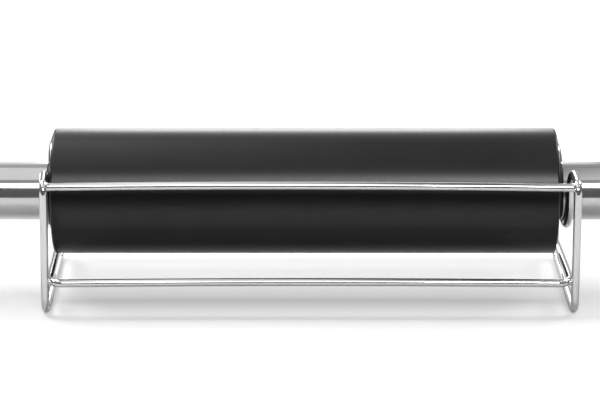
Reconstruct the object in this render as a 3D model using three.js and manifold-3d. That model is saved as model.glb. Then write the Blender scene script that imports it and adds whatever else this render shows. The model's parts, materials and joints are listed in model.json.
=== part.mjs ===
// Ball-bearing rolling pin with a non-stick barrel, resting in its chrome wire stand.
// Millimetres, +Z up, +X along the pin. The origin lies on the table, under the middle of the pin.

import * as THREE from 'three';
import { mergeVertices } from 'three/addons/utils/BufferGeometryUtils.js';
import Module from 'manifold-3d';

const wasm = await Module();
wasm.setup();

// Barrel
const barrelLength = 254;
const barrelDiameter = 63.5;
const barrelWall = 1.5;
const shoulderRadius = 1.2; // outer rounding where the barrel wall turns into its end
const endLipWidth = 8.8; // flat of the rolled end, inward from the shoulder

// Handles
const handleDiameter = 29.4;
const handleLength = 104;
const handleWall = 1;
const handleEdgeRadius = 0.6;
const capDomeHeight = 3.2;
const capSkirtDepth = 8;
const capWall = 1.2;
const coreLength = 29;
const collarThickness = 2.5;

// Axle and its fasteners
const axleDiameter = 8;
const axleTipChamfer = 0.6;
const axleTipBeyondNut = 4;
const nutAcrossFlats = 13;
const nutHeight = 6.5;
const washerDiameter = 16;
const washerThickness = 1.6;
const circlipThickness = 0.8;
const circlipDepth = 0.4; // depth of the groove that the circlip snaps into
const circlipHeight = 1.6; // how far the circlip stands out of the axle
const circlipMouthDeg = 70;

// Deep-groove ball bearing, 8 x 22 x 7
const bearingOuterDiameter = 22;
const bearingWidth = 7;
const ballDiameter = 3.97;
const ballCount = 7;
const raceLandOffset = 1.42; // from the ball pitch circle to the land of either race
const cageRadialThickness = 2.1;
const cageWidth = 5.2;

// End plugs that carry the bearings in the barrel
const plugLength = 15;
const plugShoulderHeight = 1.7; // ledge behind the bearing, inward from its outer diameter
const plugChamfer = 2;
const bearingRecess = 1; // depth of the bearing face below the barrel end

// Wire stand
const wireDiameter = 4;
const barrelEndPlay = 2.7; // free space from each barrel end to its end frame, with the pin centred
const legSpread = 92; // between the front and rear legs, wire centre to wire centre
const cradleSideGap = 0.4; // beside a handle in its U-shaped cradle
const cradleHeight = 34.5; // wire centre at the bottom of the U, above the table
const shoulderHeight = 67.8; // wire centre of the flat shoulders above the table
const footBendRadius = 7;
const legTopBendRadius = 4.2; // from a leg into its shoulder
const limbBendRadius = 11; // from a shoulder down into the cradle
const ringHeight = 17.3; // wire centre of the base ring above the table
const ringCornerRadius = 6.5;
const ringInset = 2.23; // side runs of the ring, inward from the end frames
const ringBow = 0.7; // rise of the long runs at mid-span
const leftRailAngleDeg = 47; // where the top rails meet the bends at the leg tops, up from the leg side
const rightRailAngleDeg = 41; // the same at the right end frame
const railBow = 0.9; // rise of the top rails at mid-span
const standRack = 0.5; // sideways set of the stand's rear against its front
const standOffset = 2.3; // sideways place of the stand against the pin
const rightFrameLean = 4.4; // inward set of the right end frame at its rear shoulder
const leftFrameLean = 0.6; // outward set of the left end frame at its shoulders

// Clearances
const runningGap = 0.4; // turning barrel to still collar
const fitGap = 0.15; // pressed and slid-on pieces
const ballGap = 0.18; // balls to races and cage pockets
const weldGap = 0.2; // wire to wire, filled by the weld
const seatGap = 0.2; // handle to cradle wire

// Facets
const barrelSegments = 48;
const handleSegments = 32;
const smallSegments = 24;
const plateSegments = 12;
const wireSides = 12;
const wireBendStep = Math.PI / 10;
const turnedArcStep = Math.PI / 8;

// Derived sizes
const barrelRadius = barrelDiameter / 2;
const barrelEnd = barrelLength / 2;
const handleRadius = handleDiameter / 2;
const handleBoreRadius = handleRadius - handleWall;
const axleRadius = axleDiameter / 2;
const wireRadius = wireDiameter / 2;
const ballRadius = ballDiameter / 2;
const pitchRadius = (axleRadius + fitGap + bearingOuterDiameter / 2) / 2;
const innerLandRadius = pitchRadius - raceLandOffset;
const outerLandRadius = pitchRadius + raceLandOffset;
const axisHeight = cradleHeight + wireRadius + seatGap + handleRadius;

const bearingOuterFace = barrelEnd - bearingRecess;
const bearingInnerFace = bearingOuterFace - bearingWidth;
const bearingMiddle = bearingOuterFace - bearingWidth / 2;
const collarInnerFace = barrelEnd + runningGap;
const handleStart = collarInnerFace + collarThickness;
const handleEnd = handleStart + handleLength;
const coreEnd = handleStart + coreLength;
const nutStart = coreEnd + washerThickness;
const axleTip = nutStart + nutHeight + axleTipBeyondNut;

const legY = legSpread / 2;
const limbY = handleRadius + cradleSideGap + wireRadius;
const legTopY = legY - legTopBendRadius;
const legTopZ = shoulderHeight - legTopBendRadius;
const limbBendY = limbY + limbBendRadius;
const limbBendZ = shoulderHeight - limbBendRadius;
const cradleCentreZ = cradleHeight + limbY;
const frameX = barrelEnd + barrelEndPlay + wireRadius;

const coating = new THREE.MeshStandardMaterial({ color: 0x262627, roughness: 0.45, metalness: 0.1 });
const satinSteel = new THREE.MeshStandardMaterial({ color: 0xb9babb, roughness: 0.3, metalness: 1 });
const chrome = new THREE.MeshStandardMaterial({ color: 0xd6d7d8, roughness: 0.08, metalness: 1 });
const bearingSteel = new THREE.MeshStandardMaterial({ color: 0xa9abad, roughness: 0.18, metalness: 1 });
const blackNylon = new THREE.MeshStandardMaterial({ color: 0x1b1b1c, roughness: 0.6, metalness: 0 });
const paleNylon = new THREE.MeshStandardMaterial({ color: 0xd9d4c6, roughness: 0.55, metalness: 0 });

function named(name, geometry, material) {
  const mesh = new THREE.Mesh(geometry, material);
  mesh.name = name;
  return mesh;
}

// Turns the faces of a closed geometry outward when its signed volume is negative.
function facingOut(geometry) {
  const position = geometry.getAttribute('position');
  const index = geometry.index.array;
  const corners = [new THREE.Vector3(), new THREE.Vector3(), new THREE.Vector3()];
  let volume = 0;
  for (let i = 0; i < index.length; i += 3) {
    corners.forEach((corner, k) => corner.fromBufferAttribute(position, index[i + k]));
    volume += corners[0].dot(corners[1].clone().cross(corners[2]));
  }
  if (volume < 0) {
    for (let i = 0; i < index.length; i += 3) {
      [index[i], index[i + 1]] = [index[i + 1], index[i]];
    }
  }
  return geometry;
}

function positionsOnly(geometry) {
  geometry.deleteAttribute('normal');
  geometry.deleteAttribute('uv');
  return mergeVertices(geometry, 1e-4);
}

// Profile points are [radius, place along the pin]. The turned piece lies along +X.
function turned(profile, segments) {
  const points = profile.map(([radius, along]) => new THREE.Vector2(radius, along));
  const geometry = positionsOnly(new THREE.LatheGeometry(points, segments));
  geometry.rotateZ(-Math.PI / 2);
  return facingOut(geometry);
}

function closedProfile(profile) {
  return [...profile, profile[0]];
}

// Points of an arc about [centreA, centreB], ends included, angles in radians.
function arcPoints(centreA, centreB, radius, from, to, step = turnedArcStep) {
  const steps = Math.max(2, Math.ceil(Math.abs(to - from) / step - 1e-6));
  const points = [];
  for (let i = 0; i <= steps; i += 1) {
    const angle = from + ((to - from) * i) / steps;
    points.push([centreA + radius * Math.cos(angle), centreB + radius * Math.sin(angle)]);
  }
  return points;
}

// Flat outline, pushed along the pin from one place to another.
function plate(shape, from, thickness) {
  const geometry = new THREE.ExtrudeGeometry(shape, {
    depth: thickness,
    bevelEnabled: false,
    curveSegments: plateSegments,
  });
  const solid = positionsOnly(geometry);
  solid.rotateY(Math.PI / 2);
  solid.translate(from, 0, 0);
  return facingOut(solid);
}

function toSolid(geometry) {
  return new wasm.Manifold(new wasm.Mesh({
    numProp: 3,
    vertProperties: new Float32Array(geometry.getAttribute('position').array),
    triVerts: new Uint32Array(geometry.index.array),
  }));
}

function fromSolid(solid) {
  const mesh = solid.getMesh();
  const geometry = new THREE.BufferGeometry();
  geometry.setAttribute('position', new THREE.BufferAttribute(new Float32Array(mesh.vertProperties), 3));
  geometry.setIndex(new THREE.BufferAttribute(new Uint32Array(mesh.triVerts), 1));
  return geometry;
}

// Wire bent into a closed loop. Flats of the wire face along the loop's plane normal.
function wireLoop(path, planeNormal) {
  const cornerRadius = wireRadius / Math.cos(Math.PI / wireSides);
  const vertices = [];
  const triangles = [];
  path.forEach((point, i) => {
    const before = path[(i + path.length - 1) % path.length];
    const after = path[(i + 1) % path.length];
    const arriving = point.clone().sub(before).normalize();
    const leaving = after.clone().sub(point).normalize();
    const tangent = arriving.clone().add(leaving).normalize();
    const across = planeNormal.clone().cross(tangent).normalize();
    const stretch = 1 / tangent.dot(leaving);
    for (let k = 0; k < wireSides; k += 1) {
      const angle = ((k + 0.5) * 2 * Math.PI) / wireSides;
      const vertex = point.clone()
        .addScaledVector(across, cornerRadius * stretch * Math.cos(angle))
        .addScaledVector(planeNormal, cornerRadius * Math.sin(angle));
      vertices.push(vertex.x, vertex.y, vertex.z);
    }
  });
  for (let i = 0; i < path.length; i += 1) {
    const here = i * wireSides;
    const next = ((i + 1) % path.length) * wireSides;
    for (let k = 0; k < wireSides; k += 1) {
      const side = (k + 1) % wireSides;
      triangles.push(here + k, next + k, next + side, here + k, next + side, here + side);
    }
  }
  const geometry = new THREE.BufferGeometry();
  geometry.setAttribute('position', new THREE.Float32BufferAttribute(vertices, 3));
  geometry.setIndex(triangles);
  return facingOut(geometry);
}

function wireBend(centreA, centreB, radius, from, to) {
  return arcPoints(centreA, centreB, radius, from, to, wireBendStep);
}

// The stand is a little out of square: its rear is set sideways against its front.
const rackSlope = standRack / legSpread;

function racked(x, y, z) {
  return new THREE.Vector3(x - rackSlope * y, y, z);
}

// The right end frame is twisted across its cradle: the front leg is upright, the rear one leans inward.
// The left end frame leans outward, apart from its front leg, which leans inward as much.
// The share is -1 at the left end frame and 1 at the right one.
function leaning(x, y, z, share) {
  const twist = THREE.MathUtils.clamp((y + limbBendY) / (2 * limbBendY), 0, 1);
  const crank = THREE.MathUtils.clamp((-y - limbBendY) / (legY - limbBendY), 0, 1);
  const rightLean = Math.max(share, 0) * rightFrameLean * twist;
  const leftLean = Math.max(-share, 0) * leftFrameLean * (1 - 2 * crank);
  return racked(x - (rightLean + leftLean) * (z / shoulderHeight), y, z);
}

// One wire: front foot, front leg, shoulder, U-shaped cradle, shoulder, rear leg, rear foot, ground bar.
function endFrame(side) {
  const quarter = Math.PI / 2;
  const footY = legY - footBendRadius;
  const footZ = wireRadius + footBendRadius;
  const outline = [
    ...wireBend(-footY, footZ, footBendRadius, -quarter, -2 * quarter),
    ...wireBend(-legTopY, legTopZ, legTopBendRadius, 2 * quarter, quarter),
    ...wireBend(-limbBendY, limbBendZ, limbBendRadius, quarter, 0),
    ...wireBend(0, cradleCentreZ, limbY, 2 * quarter, 4 * quarter),
    ...wireBend(limbBendY, limbBendZ, limbBendRadius, 2 * quarter, quarter),
    ...wireBend(legTopY, legTopZ, legTopBendRadius, quarter, 0),
    ...wireBend(footY, footZ, footBendRadius, 0, -quarter),
  ];
  const planeNormal = new THREE.Vector3(1, rackSlope, 0).normalize();
  return wireLoop(outline.map(([y, z]) => leaning(side * frameX, y, z, side)), planeNormal);
}

// The ring's rounded corners nestle against the legs, a weld gap away.
function baseRing() {
  const halfX = frameX - ringInset;
  const cornerX = halfX - ringCornerRadius;
  const reach = ringCornerRadius + wireDiameter + weldGap;
  const legInX = frameX - cornerX;
  const cornerY = legY - Math.sqrt(reach * reach - legInX * legInX);
  const quarter = Math.PI / 2;
  const runSteps = 8;
  const outline = [];
  [[1, 1], [-1, 1], [-1, -1], [1, -1]].forEach(([signX, signY], corner) => {
    const start = corner * quarter;
    outline.push(...wireBend(signX * cornerX, signY * cornerY, ringCornerRadius, start, start + quarter));
    if (signX === signY) {
      for (let i = 1; i < runSteps; i += 1) {
        outline.push([signX * cornerX * (1 - (2 * i) / runSteps), signY * (cornerY + ringCornerRadius)]);
      }
    }
  });
  const path = outline.map(([x, y]) => {
    const share = THREE.MathUtils.clamp(x / cornerX, -1, 1);
    const place = leaning(x, y, ringHeight, share);
    place.z += ringBow * (1 - share * share);
    return place;
  });
  return wireLoop(path, new THREE.Vector3(0, 0, 1));
}

// Where a top rail ends, against the bend at a leg top.
function railEnd(side, end, angleDeg) {
  const angle = THREE.MathUtils.degToRad(angleDeg);
  const y = side * (legTopY + legTopBendRadius * Math.cos(angle));
  const z = legTopZ + legTopBendRadius * Math.sin(angle);
  return leaning(end * (frameX - wireRadius - weldGap), y, z, end);
}

// Cross wire between the leg tops, bowed up a little.
function topRail(side) {
  const start = railEnd(side, -1, leftRailAngleDeg);
  const end = railEnd(side, 1, rightRailAngleDeg);
  const middle = start.clone().lerp(end, 0.5);
  middle.z += 2 * railBow;
  const path = new THREE.QuadraticBezierCurve3(start, middle, end);
  const section = new THREE.Shape();
  for (let k = 0; k < wireSides; k += 1) {
    const angle = ((k + 0.5) * 2 * Math.PI) / wireSides;
    const corner = wireRadius / Math.cos(Math.PI / wireSides);
    const place = [corner * Math.cos(angle), corner * Math.sin(angle)];
    if (k === 0) section.moveTo(...place);
    else section.lineTo(...place);
  }
  section.closePath();
  const geometry = new THREE.ExtrudeGeometry(section, { steps: 12, extrudePath: path });
  return facingOut(positionsOnly(geometry));
}

// Coated tube with rounded shoulders, rolled in to a flat lip at both ends.
function barrelShell() {
  const shoulderStart = barrelEnd - shoulderRadius;
  const shoulderInner = barrelRadius - shoulderRadius;
  const lipRadius = shoulderInner - endLipWidth;
  const innerBend = Math.max(shoulderRadius - barrelWall, 0.2);
  const innerStart = barrelEnd - barrelWall - innerBend;
  const innerCentre = barrelRadius - barrelWall - innerBend;
  const quarter = Math.PI / 2;
  return turned(closedProfile([
    [lipRadius, -barrelEnd],
    ...arcPoints(shoulderInner, -shoulderStart, shoulderRadius, -quarter, 0),
    ...arcPoints(shoulderInner, shoulderStart, shoulderRadius, 0, quarter),
    [lipRadius, barrelEnd],
    [lipRadius, barrelEnd - barrelWall],
    ...arcPoints(innerCentre, innerStart, innerBend, quarter, 0),
    ...arcPoints(innerCentre, -innerStart, innerBend, 0, -quarter),
    [lipRadius, -barrelEnd + barrelWall],
  ]), barrelSegments);
}

// Moulded plug behind the rolled lip, its boss flush with the barrel end, bored for the bearing.
function endPlug() {
  const lipFace = barrelEnd - barrelWall;
  const outer = barrelRadius - barrelWall - fitGap;
  const boss = barrelRadius - shoulderRadius - endLipWidth - fitGap;
  const seat = bearingOuterDiameter / 2 + fitGap;
  const ledge = bearingOuterDiameter / 2 - plugShoulderHeight;
  const innerEnd = lipFace - plugLength;
  return turned(closedProfile([
    [ledge, innerEnd],
    [outer - plugChamfer, innerEnd],
    [outer, innerEnd + plugChamfer],
    [outer, lipFace - plugChamfer],
    [outer - plugChamfer, lipFace],
    [boss, lipFace],
    [boss, barrelEnd],
    [seat, barrelEnd],
    [seat, bearingInnerFace],
    [ledge, bearingInnerFace],
  ]), handleSegments);
}

function innerRace() {
  const groove = ballRadius + ballGap;
  const spread = Math.acos(raceLandOffset / groove);
  return turned(closedProfile([
    [axleRadius + fitGap, bearingInnerFace],
    [innerLandRadius, bearingInnerFace],
    ...arcPoints(pitchRadius, bearingMiddle, groove, Math.PI + spread, Math.PI - spread),
    [innerLandRadius, bearingOuterFace],
    [axleRadius + fitGap, bearingOuterFace],
  ]), smallSegments);
}

function outerRace() {
  const groove = ballRadius + ballGap;
  const spread = Math.acos(raceLandOffset / groove);
  return turned(closedProfile([
    [outerLandRadius, bearingInnerFace],
    [bearingOuterDiameter / 2, bearingInnerFace],
    [bearingOuterDiameter / 2, bearingOuterFace],
    [outerLandRadius, bearingOuterFace],
    ...arcPoints(pitchRadius, bearingMiddle, groove, spread, -spread),
  ]), smallSegments);
}

function ballPlace(ball) {
  const angle = (ball * 2 * Math.PI) / ballCount;
  return new THREE.Vector3(bearingMiddle, pitchRadius * Math.cos(angle), pitchRadius * Math.sin(angle));
}

function ballAt(ball, radius) {
  const geometry = positionsOnly(new THREE.SphereGeometry(radius, 9, 6));
  const place = ballPlace(ball);
  geometry.translate(place.x, place.y, place.z);
  return facingOut(geometry);
}

// Plain ring with a round pocket for each ball.
function ballCage() {
  const inner = pitchRadius - cageRadialThickness / 2;
  const outer = pitchRadius + cageRadialThickness / 2;
  let cage = toSolid(turned(closedProfile([
    [inner, bearingMiddle - cageWidth / 2],
    [outer, bearingMiddle - cageWidth / 2],
    [outer, bearingMiddle + cageWidth / 2],
    [inner, bearingMiddle + cageWidth / 2],
  ]), smallSegments));
  for (let ball = 0; ball < ballCount; ball += 1) {
    cage = cage.subtract(toSolid(ballAt(ball, ballRadius + ballGap)));
  }
  return fromSolid(cage);
}

// Round bar with chamfered tips and a groove for each circlip.
function axleRod() {
  const grooveRadius = axleRadius - circlipDepth;
  const grooveStart = bearingInnerFace - circlipThickness;
  const half = [
    [grooveRadius, grooveStart],
    [grooveRadius, bearingInnerFace],
    [axleRadius, bearingInnerFace],
    [axleRadius, axleTip - axleTipChamfer],
    [axleRadius - axleTipChamfer, axleTip],
    [0, axleTip],
  ];
  const otherHalf = half.map(([radius, along]) => [radius, -along]).reverse();
  return turned([...otherHalf, [axleRadius, -grooveStart], [axleRadius, grooveStart], ...half], smallSegments);
}

function circlip() {
  const inner = axleRadius - circlipDepth + fitGap;
  const outer = axleRadius + circlipHeight;
  const half = THREE.MathUtils.degToRad(circlipMouthDeg / 2);
  const shape = new THREE.Shape();
  shape.absarc(0, 0, outer, half, 2 * Math.PI - half, false);
  shape.absarc(0, 0, inner, 2 * Math.PI - half, half, true);
  shape.closePath();
  return plate(shape, bearingInnerFace - circlipThickness, circlipThickness);
}

// Disc between barrel and handle, with a short hub that bears on the inner race.
function spacerCollar() {
  const hub = innerLandRadius - fitGap;
  return turned(closedProfile([
    [axleRadius + fitGap, bearingOuterFace],
    [hub, bearingOuterFace],
    [hub, collarInnerFace],
    [handleRadius, collarInnerFace],
    [handleRadius, handleStart],
    [axleRadius + fitGap, handleStart],
  ]), handleSegments);
}

function handleTube() {
  const edge = handleRadius - handleEdgeRadius;
  return turned(closedProfile([
    [handleBoreRadius, handleStart],
    ...arcPoints(edge, handleStart + handleEdgeRadius, handleEdgeRadius, -Math.PI / 2, 0),
    [handleRadius, handleEnd],
    [handleBoreRadius, handleEnd],
  ]), handleSegments);
}

function handleCore() {
  const outer = handleBoreRadius - fitGap;
  return turned(closedProfile([
    [axleRadius + fitGap, handleStart],
    [outer, handleStart],
    [outer, coreEnd],
    [axleRadius + fitGap, coreEnd],
  ]), handleSegments);
}

// Pressed cap: a skirt inside the tube and a shallow dome over its end.
function handleCap() {
  const skirt = handleBoreRadius - fitGap;
  const skirtInner = skirt - capWall;
  const domeRadius = (handleRadius * handleRadius + capDomeHeight * capDomeHeight) / (2 * capDomeHeight);
  const domeCentre = handleEnd + capDomeHeight - domeRadius;
  const rimAngle = Math.asin(handleRadius / domeRadius);
  const domeSteps = 5;
  const dome = [];
  for (let i = 0; i <= domeSteps; i += 1) {
    const angle = rimAngle * (1 - i / domeSteps);
    dome.push([domeRadius * Math.sin(angle), domeCentre + domeRadius * Math.cos(angle)]);
  }
  dome[domeSteps][0] = 0;
  return turned([
    [0, handleEnd + capDomeHeight - capWall],
    [skirtInner, handleEnd],
    [skirtInner, handleEnd - capSkirtDepth],
    [skirt, handleEnd - capSkirtDepth],
    [skirt, handleEnd],
    ...dome,
  ], handleSegments);
}

function washer() {
  return turned(closedProfile([
    [axleRadius + fitGap, coreEnd],
    [washerDiameter / 2, coreEnd],
    [washerDiameter / 2, nutStart],
    [axleRadius + fitGap, nutStart],
  ]), smallSegments);
}

function hexNut() {
  const shape = new THREE.Shape();
  const cornerRadius = nutAcrossFlats / Math.sqrt(3);
  for (let k = 0; k < 6; k += 1) {
    const angle = (k * Math.PI) / 3;
    const place = [cornerRadius * Math.cos(angle), cornerRadius * Math.sin(angle)];
    if (k === 0) shape.moveTo(...place);
    else shape.lineTo(...place);
  }
  shape.closePath();
  const hole = new THREE.Path();
  hole.absarc(0, 0, axleRadius + fitGap, 0, 2 * Math.PI, true);
  shape.holes.push(hole);
  return plate(shape, nutStart, nutHeight);
}

// Everything at one end of the pin, built for the +X end.
function pinEnd(side) {
  const end = new THREE.Group();
  end.add(
    named(`${side}_end_plug`, endPlug(), blackNylon),
    named(`${side}_bearing_outer_race`, outerRace(), bearingSteel),
    named(`${side}_bearing_inner_race`, innerRace(), bearingSteel),
    named(`${side}_ball_cage`, ballCage(), paleNylon),
    named(`${side}_axle_circlip`, circlip(), bearingSteel),
    named(`${side}_spacer_collar`, spacerCollar(), blackNylon),
    named(`${side}_handle_tube`, handleTube(), satinSteel),
    named(`${side}_handle_core`, handleCore(), paleNylon),
    named(`${side}_handle_cap`, handleCap(), satinSteel),
    named(`${side}_axle_washer`, washer(), bearingSteel),
    named(`${side}_axle_nut`, hexNut(), bearingSteel),
  );
  for (let ball = 0; ball < ballCount; ball += 1) {
    end.add(named(`${side}_ball_${ball + 1}`, ballAt(ball, ballRadius), bearingSteel));
  }
  return end;
}

function rollingPin() {
  const pin = new THREE.Group();
  pin.position.z = axisHeight;
  const leftEnd = pinEnd('left');
  leftEnd.rotation.z = Math.PI;
  pin.add(
    named('barrel_shell', barrelShell(), coating),
    named('axle_rod', axleRod(), bearingSteel),
    pinEnd('right'),
    leftEnd,
  );
  return pin;
}

function wireStand() {
  const stand = new THREE.Group();
  stand.position.x = standOffset;
  stand.add(
    named('left_end_frame', endFrame(-1), chrome),
    named('right_end_frame', endFrame(1), chrome),
    named('base_ring', baseRing(), chrome),
    named('front_top_rail', topRail(-1), chrome),
    named('rear_top_rail', topRail(1), chrome),
  );
  return stand;
}

const assembly = new THREE.Group();
assembly.add(wireStand(), rollingPin());

export default assembly;
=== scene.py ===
import json
import math

import bmesh
import bpy
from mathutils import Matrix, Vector

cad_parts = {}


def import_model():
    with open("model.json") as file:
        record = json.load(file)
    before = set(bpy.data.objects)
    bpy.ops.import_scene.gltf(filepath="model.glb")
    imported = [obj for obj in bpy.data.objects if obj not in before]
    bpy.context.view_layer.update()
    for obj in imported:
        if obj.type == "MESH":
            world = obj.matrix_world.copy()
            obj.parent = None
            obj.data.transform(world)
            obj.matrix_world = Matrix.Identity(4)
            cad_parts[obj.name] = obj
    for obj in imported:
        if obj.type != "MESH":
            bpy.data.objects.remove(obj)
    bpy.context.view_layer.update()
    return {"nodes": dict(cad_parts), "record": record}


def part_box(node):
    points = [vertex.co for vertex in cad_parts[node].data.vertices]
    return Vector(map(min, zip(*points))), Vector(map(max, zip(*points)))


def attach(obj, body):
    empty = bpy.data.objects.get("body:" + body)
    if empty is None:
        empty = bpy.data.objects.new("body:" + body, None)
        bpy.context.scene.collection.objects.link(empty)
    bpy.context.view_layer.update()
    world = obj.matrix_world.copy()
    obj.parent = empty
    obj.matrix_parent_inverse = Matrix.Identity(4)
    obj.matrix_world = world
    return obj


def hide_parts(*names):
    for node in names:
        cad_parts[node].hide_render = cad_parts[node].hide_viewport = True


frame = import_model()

MM = 0.001

# Camera that fits the photograph's frame
IMAGE_WIDTH_PX = 600
FOCAL_PX = 2624.4
SENSOR_WIDTH_MM = 36
CAMERA_DISTANCE = 1339 * MM
CAMERA_ELEVATION_DEG = 17.17
CAMERA_TARGET = Vector((-2.416 * MM, 0, 41.35 * MM))

# Sizes of the pin that its boxes don't tell
SHOULDER_RADIUS = 1.2 * MM
LIP_WIDTH = 8.8 * MM
LIP_ROUND = 0.5 * MM
BARREL_WALL = 1.5 * MM
RUNNING_GAP = 0.4 * MM
FIT_GAP = 0.15 * MM
COLLAR_ROUND = 0.5 * MM
COLLAR_HUB_WALL = 1.8 * MM
HANDLE_WALL = 1 * MM
HANDLE_ROUND = 0.6 * MM
CAP_SEAM = 0.35 * MM
CAP_RIM_ROUND = 1.2 * MM
PLUG_GROOVE_WIDTH = 0.8 * MM
PLUG_GROOVE_DEPTH = 0.5 * MM

# Sizes of the stand that its boxes don't tell
WIRE_RADIUS = 2 * MM
CRADLE_SIDE_GAP = 0.4 * MM
SEAT_GAP = 0.2 * MM
FOOT_BEND_RADIUS = 7 * MM
LEG_TOP_BEND_RADIUS = 4.2 * MM
LIMB_BEND_RADIUS = 11 * MM
LEFT_RAIL_DEG = 47
RIGHT_RAIL_DEG = 41
RAIL_BOW = 0.9 * MM
STAND_RACK = 0.5 * MM
STAND_OFFSET = 2.3 * MM
RIGHT_FRAME_LEAN = 4.4 * MM
LEFT_FRAME_LEAN = 0.6 * MM
RING_CORNER_RADIUS = 6.5 * MM
RING_INSET = 2.23 * MM
WELD_GAP = 0.2 * MM
WELD_FLARE = 0.35 * MM
WELD_LENGTH = 2.2 * MM
WELD_ROOT_RADIUS = 0.98 * WIRE_RADIUS
WELD_CORE_RADIUS = 0.5 * WIRE_RADIUS
WELD_FLARE_POWER = 2.5
BEAD_REACH = 0.9 * MM
BEAD_WIDTH = 1.5 * MM
BEAD_HEIGHT = 1.7 * MM

# Fineness of the meshes
TURNED_SEGMENTS = 128
WIRE_SIDES = 28
ARC_STEP_DEG = 6
FEWEST_ARC_STEPS = 4
RAIL_STEPS = 48
WELD_STEPS = 10
BEAD_RINGS = 12
LONGEST_STEP = 3 * MM
SUPPORT = 0.4 * MM
SHARP_ANGLE_DEG = 40
# Longer than any stretch of a turned profile, so that none is split
UNSPLIT_LENGTH = 1.0
# A point of a profile that lies nearer than this to the axis is on it
ON_AXIS_RADIUS = 1e-7


def arc(centre_a, centre_b, radius, start_deg, end_deg):
    """Points of an arc in a plane, ends included."""
    steps = max(FEWEST_ARC_STEPS, math.ceil(abs(end_deg - start_deg) / ARC_STEP_DEG))
    points = []
    for i in range(steps + 1):
        angle = math.radians(start_deg + (end_deg - start_deg) * i / steps)
        points.append((centre_a + radius * math.cos(angle), centre_b + radius * math.sin(angle)))
    return points


def densified(points, closed, longest):
    """The same line with support points close to the ends of its long straight stretches."""
    dense = []
    count = len(points) if closed else len(points) - 1
    for i in range(count):
        here = Vector(points[i])
        there = Vector(points[(i + 1) % len(points)])
        length = (there - here).length
        dense.append(here)
        if length < 4 * SUPPORT:
            continue
        steps = max(1, math.ceil((length - 2 * SUPPORT) / longest))
        for k in range(steps + 1):
            along = SUPPORT + (length - 2 * SUPPORT) * k / steps
            dense.append(here.lerp(there, along / length))
    if not closed:
        dense.append(Vector(points[-1]))
    return dense


def made_object(name, vertices, faces, material, body, slot, *replaced):
    """A smooth closed mesh that rides on a body and stands for the CAD nodes named last."""
    mesh = bpy.data.meshes.new(name)
    mesh.from_pydata([tuple(v) for v in vertices], [], faces)
    shape = bmesh.new()
    shape.from_mesh(mesh)
    bmesh.ops.recalc_face_normals(shape, faces=shape.faces)
    shape.to_mesh(mesh)
    shape.free()
    mesh.shade_smooth()
    mesh.set_sharp_from_angle(angle=math.radians(SHARP_ANGLE_DEG))
    mesh.materials.append(material)
    piece = bpy.data.objects.new(name, mesh)
    bpy.context.scene.collection.objects.link(piece)
    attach(piece, body)
    if replaced:
        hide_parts(*replaced)
    return piece


def strip_faces(rows, closed):
    """Quads, or triangles at a single point, between neighbouring rows of vertex numbers."""
    faces = []
    pairs = list(zip(rows, rows[1:]))
    if closed:
        pairs.append((rows[-1], rows[0]))
    for first, second in pairs:
        count = max(len(first), len(second))
        for k in range(count):
            after = (k + 1) % count
            quad = [
                first[k % len(first)], second[k % len(second)],
                second[after % len(second)], first[after % len(first)],
            ]
            faces.append(list(dict.fromkeys(quad)))
    return faces


def turned(name, profile, material, body, slot, *replaced, closed=True):
    """Profile points are (x, radius) about the pin's axis. An open profile ends on the axis."""
    vertices = []
    rows = []
    for x, radius in densified(profile, closed, UNSPLIT_LENGTH):
        start = len(vertices)
        if radius < ON_AXIS_RADIUS:
            vertices.append(Vector((x, 0, AXIS_Z)))
        else:
            for k in range(TURNED_SEGMENTS):
                angle = 2 * math.pi * k / TURNED_SEGMENTS
                vertices.append(Vector((x, radius * math.sin(angle), AXIS_Z + radius * math.cos(angle))))
        rows.append(list(range(start, len(vertices))))
    return made_object(name, vertices, strip_faces(rows, closed), material, body, slot, *replaced)


def wire(name, path, reference, material, closed, *replaced):
    """Round wire along a path whose direction is never that of the reference vector."""
    points = densified(path, closed, LONGEST_STEP)
    vertices = []
    rows = []
    for i, point in enumerate(points):
        before = points[i - 1] if closed or i else point
        after = points[(i + 1) % len(points)] if closed or i + 1 < len(points) else point
        tangent = (after - before).normalized()
        across = reference.cross(tangent).normalized()
        upright = tangent.cross(across)
        rows.append(list(range(len(vertices), len(vertices) + WIRE_SIDES)))
        for k in range(WIRE_SIDES):
            angle = 2 * math.pi * k / WIRE_SIDES
            vertices.append(point + WIRE_RADIUS * (math.cos(angle) * across + math.sin(angle) * upright))
    faces = strip_faces(rows, closed)
    if not closed:
        faces += [rows[0], rows[-1]]
    return made_object(name, vertices, faces, material, "stand", "chrome_wire", *replaced)


# Places and sizes from the frame
barrel_low, barrel_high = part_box("barrel_shell")
AXIS_Z = (barrel_low.z + barrel_high.z) / 2
BARREL_RADIUS = (barrel_high.z - barrel_low.z) / 2
BARREL_END = barrel_high.x
tube_low, tube_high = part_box("right_handle_tube")
HANDLE_RADIUS = (tube_high.z - tube_low.z) / 2
HANDLE_START = tube_low.x
HANDLE_END = tube_high.x
CAP_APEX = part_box("right_handle_cap")[1].x
CAP_SKIRT_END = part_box("right_handle_cap")[0].x
HUB_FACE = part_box("right_spacer_collar")[0].x
plug_low, plug_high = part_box("right_end_plug")
PLUG_RADIUS = (plug_high.z - plug_low.z) / 2
PLUG_INNER_END = plug_low.x
race_low, race_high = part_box("right_bearing_outer_race")
BEARING_RADIUS = (race_high.z - race_low.z) / 2
AXLE_RADIUS = (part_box("axle_rod")[1].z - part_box("axle_rod")[0].z) / 2
COLLAR_FACE = BARREL_END + RUNNING_GAP
LIP_RADIUS = BARREL_RADIUS - SHOULDER_RADIUS - LIP_WIDTH

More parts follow.
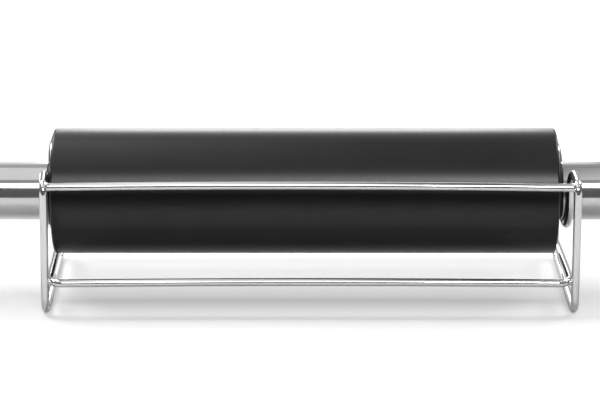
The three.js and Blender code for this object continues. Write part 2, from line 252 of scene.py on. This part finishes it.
frame_low, frame_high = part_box("right_end_frame")
LEG_Y = (frame_high.y - frame_low.y) / 2 - WIRE_RADIUS
RACK_SLOPE = STAND_RACK / (2 * LEG_Y)
FRAME_X = frame_high.x - WIRE_RADIUS - RACK_SLOPE * LEG_Y - STAND_OFFSET
LIMB_Y = HANDLE_RADIUS + CRADLE_SIDE_GAP + WIRE_RADIUS
LIMB_BEND_Y = LIMB_Y + LIMB_BEND_RADIUS
SHOULDER_Z = frame_high.z - WIRE_RADIUS
CRADLE_Z = AXIS_Z - HANDLE_RADIUS - SEAT_GAP - WIRE_RADIUS + LIMB_Y
ring_low, ring_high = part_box("base_ring")
RING_Z = ring_low.z + WIRE_RADIUS
RING_BOW = ring_high.z - ring_low.z - 2 * WIRE_RADIUS
RING_HALF_Y = (ring_high.y - ring_low.y) / 2 - WIRE_RADIUS
RING_CORNER_Y = RING_HALF_Y - RING_CORNER_RADIUS
RING_HALF_X = FRAME_X - RING_INSET
RING_CORNER_X = RING_HALF_X - RING_CORNER_RADIUS


def leaning(x, y, z, share):
    """A point of the stand, which is a little out of square. Its right end frame is twisted across the
    cradle, so that the rear leg leans inward. Its left end frame leans outward, apart from the front leg.
    The share is -1 at the left end frame and 1 at the right one."""
    twist = max(0, min(1, (y + LIMB_BEND_Y) / (2 * LIMB_BEND_Y)))
    crank = max(0, min(1, (-y - LIMB_BEND_Y) / (LEG_Y - LIMB_BEND_Y)))
    lean = max(share, 0) * RIGHT_FRAME_LEAN * twist + max(-share, 0) * LEFT_FRAME_LEAN * (1 - 2 * crank)
    return Vector((STAND_OFFSET + x - RACK_SLOPE * y - lean * z / SHOULDER_Z, y, z))


# Materials

# Most values of a noise lie between these two
NOISE_LOW = 0.3
NOISE_HIGH = 0.7


def new_material(name):
    material = bpy.data.materials.new(name)
    material.use_nodes = True
    tree = material.node_tree
    return material, tree, tree.nodes["Principled BSDF"]


def noise(tree, feature_size, stretch=(1, 1, 1), detail=2.0):
    """Noise with features of a real size, longer along an axis whose stretch is below 1."""
    place = tree.nodes.new("ShaderNodeTexCoord")
    mapping = tree.nodes.new("ShaderNodeMapping")
    mapping.inputs["Scale"].default_value = stretch
    texture = tree.nodes.new("ShaderNodeTexNoise")
    texture.inputs["Scale"].default_value = 1 / feature_size
    texture.inputs["Detail"].default_value = detail
    tree.links.new(place.outputs["Object"], mapping.inputs["Vector"])
    tree.links.new(mapping.outputs["Vector"], texture.inputs["Vector"])
    return texture.outputs["Fac"]


def spread(tree, value, low, high):
    """The middle of a noise's values, spread from low to high."""
    node = tree.nodes.new("ShaderNodeMapRange")
    node.inputs["From Min"].default_value = NOISE_LOW
    node.inputs["From Max"].default_value = NOISE_HIGH
    node.inputs["To Min"].default_value = low
    node.inputs["To Max"].default_value = high
    tree.links.new(value, node.inputs["Value"])
    return node.outputs["Result"]


def tinted(tree, shader, value, dark, light):
    """Colour that wanders between two shades."""
    ramp = tree.nodes.new("ShaderNodeValToRGB")
    ramp.color_ramp.elements[0].position = NOISE_LOW
    ramp.color_ramp.elements[0].color = (*dark, 1)
    ramp.color_ramp.elements[1].position = NOISE_HIGH
    ramp.color_ramp.elements[1].color = (*light, 1)
    tree.links.new(value, ramp.inputs["Fac"])
    tree.links.new(ramp.outputs["Color"], shader.inputs["Base Color"])


def bumped(tree, shader, *layers):
    """Stacks bump layers of (height, depth in metres) on a shader."""
    normal = None
    for height, depth in layers:
        node = tree.nodes.new("ShaderNodeBump")
        node.inputs["Strength"].default_value = 1
        node.inputs["Distance"].default_value = depth
        tree.links.new(height, node.inputs["Height"])
        if normal is not None:
            tree.links.new(normal, node.inputs["Normal"])
        normal = node.outputs["Normal"]
    tree.links.new(normal, shader.inputs["Normal"])


def barrel_coating():
    """Black non-stick coating: nearly black, semi-matte, with a fine orange peel."""
    material, tree, shader = new_material("barrel_coating")
    shader.inputs["IOR"].default_value = 1.4
    cloud = noise(tree, 14 * MM, detail=4)
    tinted(tree, shader, cloud, (0.0062, 0.0062, 0.0064), (0.0094, 0.0094, 0.0096))
    rings = noise(tree, 8 * MM, stretch=(12, 1, 1), detail=4)
    tree.links.new(spread(tree, rings, 0.28, 0.32), shader.inputs["Roughness"])
    peel = noise(tree, 0.9 * MM)
    bumped(tree, shader, (rings, 0.0016 * MM), (peel, 0.0045 * MM))
    return material


def satin_steel():
    """Stainless tube with a fine finish that runs round it."""
    material, tree, shader = new_material("satin_steel")
    shader.inputs["Metallic"].default_value = 1
    cloud = noise(tree, 30 * MM, detail=3)
    tinted(tree, shader, cloud, (0.585, 0.585, 0.588), (0.615, 0.615, 0.615))
    lines = noise(tree, 6 * MM, stretch=(40, 1, 1), detail=3)
    tree.links.new(spread(tree, lines, 0.09, 0.13), shader.inputs["Roughness"])
    bumped(tree, shader, (lines, 0.0006 * MM))
    return material


def chrome_wire():
    """Bright chrome plate on drawn wire, with a faint unevenness and a little haze."""
    material, tree, shader = new_material("chrome_wire")
    shader.inputs["Metallic"].default_value = 1
    cloud = noise(tree, 20 * MM, detail=3)
    tinted(tree, shader, cloud, (0.67, 0.675, 0.68), (0.7, 0.7, 0.7))
    haze = noise(tree, 5 * MM, detail=4)
    tree.links.new(spread(tree, haze, 0.02, 0.05), shader.inputs["Roughness"])
    wave = noise(tree, 25 * MM)
    bumped(tree, shader, (wave, 0.0015 * MM))
    return material


def bearing_steel():
    """Ground steel of the bearings, axle and fasteners."""
    material, tree, shader = new_material("bearing_steel")
    shader.inputs["Metallic"].default_value = 1
    cloud = noise(tree, 4 * MM, detail=3)
    tinted(tree, shader, cloud, (0.48, 0.48, 0.49), (0.55, 0.55, 0.56))
    lines = noise(tree, 3 * MM, stretch=(30, 1, 1), detail=3)
    tree.links.new(spread(tree, lines, 0.16, 0.24), shader.inputs["Roughness"])
    bumped(tree, shader, (lines, 0.001 * MM))
    return material


def moulded_nylon(name, dark, light, roughness):
    """Moulded nylon with a fine spark-eroded grain."""
    material, tree, shader = new_material(name)
    shader.inputs["Specular IOR Level"].default_value = 0.3
    cloud = noise(tree, 3 * MM, detail=3)
    tinted(tree, shader, cloud, dark, light)
    grain = noise(tree, 0.35 * MM, detail=3)
    tree.links.new(spread(tree, grain, roughness - 0.05, roughness + 0.05), shader.inputs["Roughness"])
    bumped(tree, shader, (grain, 0.01 * MM))
    return material


finishes = {
    "barrel_coating": barrel_coating(),
    "satin_steel": satin_steel(),
    "chrome_wire": chrome_wire(),
    "bearing_steel": bearing_steel(),
    "black_nylon": moulded_nylon("black_nylon", (0.005, 0.005, 0.005), (0.008, 0.008, 0.008), 0.5),
    "pale_nylon": moulded_nylon("pale_nylon", (0.66, 0.62, 0.52), (0.72, 0.68, 0.58), 0.45),
}
for subpart in frame["record"]["subparts"]:
    node = frame["nodes"][subpart["node"]]
    for material_slot in node.material_slots:
        material_slot.material = finishes[subpart["material_slot"]]


# Rolling pin

def mirrored(profile, sign):
    return [(sign * x, radius) for x, radius in profile]


def barrel():
    """Coated tube, rolled over its shoulders to a flat lip with a soft inner edge."""
    half = [
        *arc(BARREL_END - SHOULDER_RADIUS, BARREL_RADIUS - SHOULDER_RADIUS, SHOULDER_RADIUS, 90, 0),
        *arc(BARREL_END - LIP_ROUND, LIP_RADIUS + LIP_ROUND, LIP_ROUND, 0, -90),
        (BARREL_END - BARREL_WALL, LIP_RADIUS),
        (BARREL_END - BARREL_WALL, BARREL_RADIUS - BARREL_WALL),
    ]
    turned(
        "coated_barrel", half + mirrored(half, -1)[::-1], finishes["barrel_coating"],
        "barrel", "barrel_coating", "barrel_shell",
    )


def end_plug(side, sign):
    """Moulded bearing carrier; a shallow groove runs round its face."""
    boss = LIP_RADIUS - FIT_GAP
    seat = BEARING_RADIUS + FIT_GAP
    lip_face = BARREL_END - BARREL_WALL
    groove = (boss + HANDLE_RADIUS) / 2
    profile = [
        (PLUG_INNER_END, seat),
        (PLUG_INNER_END, PLUG_RADIUS),
        (lip_face, PLUG_RADIUS),
        (lip_face, boss),
        *arc(BARREL_END - LIP_ROUND, boss - LIP_ROUND, LIP_ROUND, 90, 0),
        (BARREL_END, groove + PLUG_GROOVE_WIDTH),
        (BARREL_END - PLUG_GROOVE_DEPTH, groove + PLUG_GROOVE_WIDTH / 2),
        (BARREL_END - PLUG_GROOVE_DEPTH, groove - PLUG_GROOVE_WIDTH / 2),
        (BARREL_END, groove - PLUG_GROOVE_WIDTH),
        (BARREL_END, seat),
    ]
    turned(
        f"{side}_plug", mirrored(profile, sign), finishes["black_nylon"],
        "barrel", "black_nylon", f"{side}_end_plug",
    )


def spacer_collar(side, sign):
    """Black disc with soft edges and the hub that bears on the inner race."""
    bore = AXLE_RADIUS + FIT_GAP
    hub = bore + COLLAR_HUB_WALL
    rim = HANDLE_RADIUS - COLLAR_ROUND
    profile = [
        (HUB_FACE, bore),
        (HUB_FACE, hub),
        (COLLAR_FACE, hub),
        *arc(COLLAR_FACE + COLLAR_ROUND, rim, COLLAR_ROUND, 180, 90),
        *arc(HANDLE_START - COLLAR_ROUND, rim, COLLAR_ROUND, 90, 0),
        (HANDLE_START, bore),
    ]
    turned(
        f"{side}_collar", mirrored(profile, sign), finishes["black_nylon"],
        "pin_core", "black_nylon", f"{side}_spacer_collar",
    )


def handle(side, sign):
    """Steel tube with a soft inner edge, and its domed cap behind a fine seam."""
    bore = HANDLE_RADIUS - HANDLE_WALL
    edge = HANDLE_RADIUS - HANDLE_ROUND
    seam_x = HANDLE_END - CAP_SEAM
    tube = [
        (HANDLE_START, bore),
        *arc(HANDLE_START + HANDLE_ROUND, edge, HANDLE_ROUND, 180, 90),
        *arc(seam_x - CAP_SEAM, HANDLE_RADIUS - CAP_SEAM, CAP_SEAM, 90, 0),
        (seam_x, bore),
    ]
    turned(
        f"{side}_grip", mirrored(tube, sign), finishes["satin_steel"],
        "pin_core", "satin_steel", f"{side}_handle_tube",
    )
    skirt = bore - FIT_GAP
    dome_height = CAP_APEX - HANDLE_END
    dome_radius = (HANDLE_RADIUS ** 2 + dome_height ** 2) / (2 * dome_height)
    dome_centre = CAP_APEX - dome_radius
    rim_deg = math.degrees(math.asin((HANDLE_RADIUS - CAP_RIM_ROUND) / dome_radius))
    cap = [
        (CAP_SKIRT_END, 0),
        (CAP_SKIRT_END, skirt),
        (seam_x + FIT_GAP, skirt),
        (seam_x + FIT_GAP, HANDLE_RADIUS - CAP_SEAM),
        (HANDLE_END + CAP_SEAM, HANDLE_RADIUS),
        *arc(dome_centre, 0, dome_radius, rim_deg, 0)[:-1],
        (CAP_APEX, 0),
    ]
    turned(
        f"{side}_end_cap", mirrored(cap, sign), finishes["satin_steel"],
        "pin_core", "satin_steel", f"{side}_handle_cap", closed=False,
    )


# Wire stand

def end_frame(side, sign):
    """One wire: front foot, leg, shoulder, U-shaped cradle, shoulder, leg, rear foot and ground bar."""
    foot_y = LEG_Y - FOOT_BEND_RADIUS
    foot_z = WIRE_RADIUS + FOOT_BEND_RADIUS
    top_y = LEG_Y - LEG_TOP_BEND_RADIUS
    top_z = SHOULDER_Z - LEG_TOP_BEND_RADIUS
    limb_z = SHOULDER_Z - LIMB_BEND_RADIUS
    outline = [
        *arc(-foot_y, foot_z, FOOT_BEND_RADIUS, -90, -180),
        *arc(-top_y, top_z, LEG_TOP_BEND_RADIUS, 180, 90),
        *arc(-LIMB_BEND_Y, limb_z, LIMB_BEND_RADIUS, 90, 0),
        *arc(0, CRADLE_Z, LIMB_Y, 180, 360),
        *arc(LIMB_BEND_Y, limb_z, LIMB_BEND_RADIUS, 180, 90),
        *arc(top_y, top_z, LEG_TOP_BEND_RADIUS, 90, 0),
        *arc(foot_y, foot_z, FOOT_BEND_RADIUS, 0, -90),
    ]
    path = [leaning(sign * FRAME_X, y, z, sign) for y, z in outline]
    across = Vector((1, RACK_SLOPE, 0)).normalized()
    wire(f"{side}_frame_wire", path, across, finishes["chrome_wire"], True, f"{side}_end_frame")


def base_ring():
    """Rectangle of wire with round corners against the legs, its long runs bowed up a little."""
    outline = []
    for start_deg, sign_x, sign_y in ((0, 1, 1), (90, -1, 1), (180, -1, -1), (270, 1, -1)):
        corner_x = sign_x * RING_CORNER_X
        corner_y = sign_y * RING_CORNER_Y
        outline += arc(corner_x, corner_y, RING_CORNER_RADIUS, start_deg, start_deg + 90)
    path = []
    for point in densified(outline, True, LONGEST_STEP):
        along = max(-1, min(1, point.x / RING_CORNER_X))
        place = leaning(point.x, point.y, RING_Z, along)
        place.z += RING_BOW * (1 - along ** 2)
        path.append(place)
    wire("ring_wire", path, Vector((0, 0, 1)), finishes["chrome_wire"], True, "base_ring")


def rail_end(sign_x, sign_y, angle_deg):
    """Where a top rail ends, against the bend at a leg top."""
    angle = math.radians(angle_deg)
    y = sign_y * (LEG_Y - LEG_TOP_BEND_RADIUS * (1 - math.cos(angle)))
    z = SHOULDER_Z - LEG_TOP_BEND_RADIUS * (1 - math.sin(angle))
    return leaning(sign_x * (FRAME_X - WIRE_RADIUS - WELD_GAP), y, z, sign_x)


def top_rail(side, sign_y):
    """Cross wire between the leg tops, bowed up a little, with a weld at each end."""
    start = rail_end(-1, sign_y, LEFT_RAIL_DEG)
    end = rail_end(1, sign_y, RIGHT_RAIL_DEG)
    path = []
    for i in range(RAIL_STEPS + 1):
        place = start.lerp(end, i / RAIL_STEPS)
        place.z += RAIL_BOW * (1 - (2 * i / RAIL_STEPS - 1) ** 2)
        path.append(place)
    wire(f"{side}_rail_wire", path, Vector((0, 0, 1)), finishes["chrome_wire"], False, f"{side}_top_rail")
    weld_collar(f"{side}_rail_left_weld", start, -1)
    weld_collar(f"{side}_rail_right_weld", end, 1)


def weld_collar(name, place, sign):
    """Weld metal that flares from a rail end onto the bend behind it."""
    rows = []
    vertices = []
    flare = [(0, WELD_CORE_RADIUS)]
    for i in range(WELD_STEPS + 1):
        along = i / WELD_STEPS
        flare.append((WELD_LENGTH * along, WELD_ROOT_RADIUS + WELD_FLARE * along ** WELD_FLARE_POWER))
    flare += arc(WELD_LENGTH, WELD_ROOT_RADIUS, WELD_FLARE, 90, 0)
    flare.append((WELD_LENGTH + WELD_FLARE, WELD_CORE_RADIUS))
    start_x = place.x - sign * (WELD_LENGTH - WELD_GAP)
    for x, radius in flare:
        rows.append(list(range(len(vertices), len(vertices) + WIRE_SIDES)))
        for k in range(WIRE_SIDES):
            angle = 2 * math.pi * k / WIRE_SIDES
            vertices.append(Vector((
                start_x + sign * x, place.y + radius * math.cos(angle), place.z + radius * math.sin(angle),
            )))
    faces = strip_faces(rows, False) + [rows[0], rows[-1]]
    made_object(name, vertices, faces, finishes["chrome_wire"], "stand", "chrome_wire")


def ring_welds():
    """A bead of weld metal where each leg meets a corner of the ring."""
    for side, sign_x in (("left", -1), ("right", 1)):
        for end, sign_y in (("front", -1), ("rear", 1)):
            leg = leaning(sign_x * FRAME_X, sign_y * LEG_Y, RING_Z, sign_x)
            corner = leaning(sign_x * RING_CORNER_X, sign_y * RING_CORNER_Y, RING_Z, sign_x)
            inward = (corner - leg).normalized()
            middle = leg + inward * (WIRE_RADIUS + WELD_GAP / 2)
            along = Vector((-inward.y, inward.x, 0))
            bead(f"{end}_{side}_ring_weld", middle, inward, along)


def bead(name, middle, inward, along):
    """Rounded bead, thin between the wires and longer along their contact."""
    vertices = []
    rows = []
    for i in range(BEAD_RINGS + 1):
        tilt = math.pi * i / BEAD_RINGS - math.pi / 2
        ring_radius = math.cos(tilt)
        row = []
        count = 1 if i in (0, BEAD_RINGS) else WIRE_SIDES
        for k in range(count):
            turn = 2 * math.pi * k / count
            offset = inward * BEAD_REACH * ring_radius * math.cos(turn)
            offset += along * BEAD_WIDTH * ring_radius * math.sin(turn)
            row.append(len(vertices))
            vertices.append(middle + offset + Vector((0, 0, BEAD_HEIGHT * math.sin(tilt))))
        rows.append(row)
    made_object(name, vertices, strip_faces(rows, False), finishes["chrome_wire"], "stand", "chrome_wire")


# Studio, in metres and degrees up from the front horizon; a level or radiance of 1 is white

MIRROR_RAYS = ("Is Glossy Ray", "Is Transmission Ray")
FLOOR_FRONT = -0.26
FLOOR_BACK = 2.5
FLOOR_HALF_WIDTH = 2.2
FLOOR_COLOUR = 0.52
FLOOR_LIFT = 0.42
FLOOR_GLOW = 0.07
LIFT_START = 0.36
LIFT_END = 0.8
WORLD_FILL = 0.06
WASH_CENTRE = Vector((0, -0.17, 0.6))
WASH_SPREAD_DEG = 5
STRIP_DISTANCE = 1.25
STRIP_LEFT = -0.34
STRIP_SPLIT = 0.12
STRIP_RIGHT = 0.4
STRIP_SEAM_DEG = 37.5
KEY_DISTANCE = 1.2
KEY_FROM_DEG = 88
KEY_TO_DEG = 146
CEILING_DISTANCE = 1.35
CEILING_TO_DEG = 121
REAR_DISTANCE = 1.3
REAR_FROM_DEG = 149
REAR_TO_DEG = 181
SIDE_CARD_X = 1.5
SIDE_CARD_REACH = 1.4
SIDE_CARD_TOP = 1.3
SIDE_CARD_LEVEL = 0.2


def add_glow(tree, shader, rays, strength):
    """Adds a white glow to a shader, for the named kinds of ray alone.
    The strength is a number or a socket."""
    light_path = tree.nodes.new("ShaderNodeLightPath")
    total = light_path.outputs[rays[0]]
    for kind in rays[1:]:
        more = tree.nodes.new("ShaderNodeMath")
        more.operation = "MAXIMUM"
        tree.links.new(total, more.inputs[0])
        tree.links.new(light_path.outputs[kind], more.inputs[1])
        total = more.outputs[0]
    scaled = tree.nodes.new("ShaderNodeMath")
    scaled.operation = "MULTIPLY"
    if isinstance(strength, bpy.types.NodeSocket):
        tree.links.new(strength, scaled.inputs[1])
    else:
        scaled.inputs[1].default_value = strength
    tree.links.new(total, scaled.inputs[0])
    glow = tree.nodes.new("ShaderNodeEmission")
    tree.links.new(scaled.outputs[0], glow.inputs["Strength"])
    both = tree.nodes.new("ShaderNodeAddShader")
    tree.links.new(shader.outputs[0], both.inputs[0])
    tree.links.new(glow.outputs[0], both.inputs[1])
    return both


def distance_lift(tree):
    """The table's lift: even round the pin, and up to plain white far from it."""
    place = tree.nodes.new("ShaderNodeTexCoord")
    distance = tree.nodes.new("ShaderNodeVectorMath")
    distance.operation = "LENGTH"
    tree.links.new(place.outputs["Object"], distance.inputs[0])
    ramp = tree.nodes.new("ShaderNodeMapRange")
    ramp.inputs["From Min"].default_value = LIFT_START
    ramp.inputs["From Max"].default_value = LIFT_END
    ramp.inputs["To Min"].default_value = FLOOR_LIFT
    ramp.inputs["To Max"].default_value = 1
    tree.links.new(distance.outputs["Value"], ramp.inputs["Value"])
    return ramp.outputs["Result"]


def floor():
    corners = [
        (-FLOOR_HALF_WIDTH, FLOOR_FRONT, 0), (FLOOR_HALF_WIDTH, FLOOR_FRONT, 0),
        (FLOOR_HALF_WIDTH, FLOOR_BACK, 0), (-FLOOR_HALF_WIDTH, FLOOR_BACK, 0),
    ]
    mesh = bpy.data.meshes.new("floor")
    mesh.from_pydata(corners, [], [(0, 1, 2, 3)])
    material = bpy.data.materials.new("floor_white")
    material.use_nodes = True
    tree = material.node_tree
    tree.nodes.remove(tree.nodes["Principled BSDF"])
    matt = tree.nodes.new("ShaderNodeBsdfDiffuse")
    matt.inputs["Color"].default_value = (FLOOR_COLOUR, FLOOR_COLOUR, FLOOR_COLOUR, 1)
    seen = add_glow(tree, matt, ("Is Camera Ray",), distance_lift(tree))
    mirrored_too = add_glow(tree, seen, MIRROR_RAYS, FLOOR_GLOW)
    tree.links.new(mirrored_too.outputs[0], tree.nodes["Material Output"].inputs["Surface"])
    mesh.materials.append(material)
    table = bpy.data.objects.new("floor", mesh)
    bpy.context.scene.collection.objects.link(table)


def glowing_sheet(name, vertices, faces, levels):
    """Sheet with a brightness at every corner. The camera doesn't see it, the metal does."""
    mesh = bpy.data.meshes.new(name)
    mesh.from_pydata(vertices, [], faces)
    shade = mesh.color_attributes.new("level", "FLOAT_COLOR", "POINT")
    for i, level in enumerate(levels):
        shade.data[i].color = (level, level, level, 1)
    material = bpy.data.materials.new(name)
    material.use_nodes = True
    tree = material.node_tree
    tree.nodes.remove(tree.nodes["Principled BSDF"])
    reader = tree.nodes.new("ShaderNodeAttribute")
    reader.attribute_name = "level"
    glow = tree.nodes.new("ShaderNodeEmission")
    tree.links.new(reader.outputs["Color"], glow.inputs["Color"])
    tree.links.new(glow.outputs[0], tree.nodes["Material Output"].inputs["Surface"])
    mesh.materials.append(material)
    flag = bpy.data.objects.new(name, mesh)
    flag.visible_camera = False
    flag.visible_diffuse = False
    flag.visible_shadow = False
    material.cycles.emission_sampling = "NONE"
    bpy.context.scene.collection.objects.link(flag)


def card(name, distance, from_deg, to_deg, columns):
    """Flat card beside the pin's axis, between two angles. Columns are (x, lower level, upper level)."""
    low = front_arc(distance, from_deg)
    high = front_arc(distance, to_deg)
    vertices = []
    levels = []
    for x, low_level, high_level in columns:
        vertices += [(x, low.y, low.z), (x, high.y, high.z)]
        levels += [low_level, high_level]
    faces = [(2 * i, 2 * i + 2, 2 * i + 3, 2 * i + 1) for i in range(len(columns) - 1)]
    glowing_sheet(name, vertices, faces, levels)


def side_card(name, x):
    """Upright card beyond one end of the pin."""
    corners = [
        (x, -SIDE_CARD_REACH, 0), (x, SIDE_CARD_REACH, 0),
        (x, SIDE_CARD_REACH, SIDE_CARD_TOP), (x, -SIDE_CARD_REACH, SIDE_CARD_TOP),
    ]
    glowing_sheet(name, corners, [(0, 1, 2, 3)], [SIDE_CARD_LEVEL] * len(corners))


def softbox(name, centre, width, height, radiance):
    """Area lamp that faces the pin, given by the brightness of its face."""
    lamp = bpy.data.lights.new(name, "AREA")
    lamp.shape = "RECTANGLE"
    lamp.size = width
    lamp.size_y = height
    lamp.energy = radiance * math.pi * width * height
    box = bpy.data.objects.new(name, lamp)
    box.location = centre
    towards = (Vector((0, 0, AXIS_Z)) - centre).normalized()
    box.rotation_euler = towards.to_track_quat("-Z", "Y").to_euler()
    box.visible_camera = False
    bpy.context.scene.collection.objects.link(box)
    return box


def wash(name, centre, width, depth, radiance):
    """Gridded lamp that shines straight down on the table in front of the pin."""
    box = softbox(name, centre, width, depth, radiance)
    box.rotation_euler = (0, 0, 0)
    box.data.spread = math.radians(WASH_SPREAD_DEG)
    box.visible_glossy = False


def front_arc(distance, angle_deg):
    """A place at a distance from the pin's axis, by the angle up from the front horizon."""
    angle = math.radians(angle_deg)
    return Vector((0, -distance * math.cos(angle), AXIS_Z + distance * math.sin(angle)))


def strip_softbox(name, distance, from_deg, to_deg, from_x, to_x, radiance):
    """Softbox between two angles and two places along the pin."""
    height = 2 * distance * math.tan(math.radians((to_deg - from_deg) / 2))
    box = softbox(name, front_arc(distance, (from_deg + to_deg) / 2), to_x - from_x, height, radiance)
    box.location.x = (from_x + to_x) / 2


def lamps():
    """A split strip in front, a key light over each end, a wall behind and a wash on the table."""
    strip_softbox(
        "front_strip_left", STRIP_DISTANCE, from_deg=29.2, to_deg=STRIP_SEAM_DEG,
        from_x=STRIP_LEFT, to_x=STRIP_SPLIT, radiance=10.8,
    )
    strip_softbox(
        "front_strip_right", STRIP_DISTANCE, from_deg=31.1, to_deg=STRIP_SEAM_DEG,
        from_x=STRIP_SPLIT, to_x=STRIP_RIGHT, radiance=27.0,
    )
    strip_softbox(
        "front_strip_edge", STRIP_DISTANCE, from_deg=STRIP_SEAM_DEG, to_deg=45.2,
        from_x=STRIP_LEFT, to_x=STRIP_RIGHT, radiance=2.9,
    )
    strip_softbox("back_wall", distance=2.4, from_deg=155, to_deg=178, from_x=-0.36, to_x=0.34, radiance=3.0)
    key = (KEY_DISTANCE, KEY_FROM_DEG, KEY_TO_DEG)
    strip_softbox("key_left", *key, from_x=-1.1, to_x=-0.45, radiance=10.5)
    strip_softbox("key_right", *key, from_x=0.6, to_x=1.25, radiance=6.8)
    wash("front_wash", WASH_CENTRE, width=1.0, depth=0.2, radiance=0.38)


def cards():
    """What the metal and the coating mirror between the lamps."""
    card(
        "front_flag", distance=0.62, from_deg=-16, to_deg=25,
        columns=((-1.0, 0.14, 0.14), (1.0, 0.14, 0.14)),
    )
    card(
        "strip_surround", distance=1.45, from_deg=24, to_deg=61,
        columns=((-1.4, 0.25, 0.42), (1.4, 0.25, 0.42)),
    )
    card("ceiling", CEILING_DISTANCE, from_deg=60, to_deg=CEILING_TO_DEG, columns=(
        (-1.0, 1.7, 1.8), (-0.25, 0.95, 0.92), (-0.21, 1.2, 1.25), (-0.14, 1.25, 1.3), (0.0, 0.85, 0.58),
        (0.1, 0.5, 0.1), (0.2, 0.3, 0.0), (0.25, 0.76, 0.34), (0.3, 0.9, 0.5), (0.36, 0.88, 0.58),
        (1.4, 0.6, 0.4),
    ))
    card("rear_flag", CEILING_DISTANCE, CEILING_TO_DEG, REAR_FROM_DEG, columns=(
        (-1.2, 0.44, 0.62), (0.0, 0.46, 0.68), (0.2, 0.34, 0.54), (1.2, 0.36, 0.56),
    ))
    rear = (REAR_DISTANCE, REAR_FROM_DEG, REAR_TO_DEG)
    card("rear_left", *rear, columns=((-1.3, 0.4, 0.4), (-0.34, 0.4, 0.4)))
    card("rear_right", *rear, columns=((0.29, 0.5, 0.5), (1.3, 0.4, 0.4)))
    side_card("left_flag", -SIDE_CARD_X)
    side_card("right_flag", SIDE_CARD_X)


def world():
    surroundings = bpy.data.worlds.new("white_studio")
    bpy.context.scene.world = surroundings
    surroundings.use_nodes = True
    surroundings.cycles.sampling_method = "NONE"
    tree = surroundings.node_tree
    fill = tree.nodes["Background"]
    fill.inputs["Color"].default_value = (1, 1, 1, 1)
    fill.inputs["Strength"].default_value = WORLD_FILL
    white = add_glow(tree, fill, ("Is Camera Ray", *MIRROR_RAYS), 1 - WORLD_FILL)
    tree.links.new(white.outputs[0], tree.nodes["World Output"].inputs["Surface"])


def camera():
    lens = bpy.data.cameras.new("photo_camera")
    lens.sensor_fit = "HORIZONTAL"
    lens.sensor_width = SENSOR_WIDTH_MM
    lens.lens = FOCAL_PX * SENSOR_WIDTH_MM / IMAGE_WIDTH_PX
    elevation = math.radians(CAMERA_ELEVATION_DEG)
    viewer = bpy.data.objects.new("photo_camera", lens)
    back = Vector((0, -math.cos(elevation), math.sin(elevation)))
    viewer.location = CAMERA_TARGET + CAMERA_DISTANCE * back
    viewer.rotation_euler = (math.pi / 2 - elevation, 0, 0)
    bpy.context.scene.collection.objects.link(viewer)
    bpy.context.scene.camera = viewer


camera()
barrel()
for side_name, side_sign in (("left", -1), ("right", 1)):
    end_plug(side_name, side_sign)
    spacer_collar(side_name, side_sign)
    handle(side_name, side_sign)
    end_frame(side_name, side_sign)
base_ring()
top_rail("front", -1)
top_rail("rear", 1)
ring_welds()
floor()
lamps()
cards()
world()
bpy.context.scene.view_settings.view_transform = "Standard"
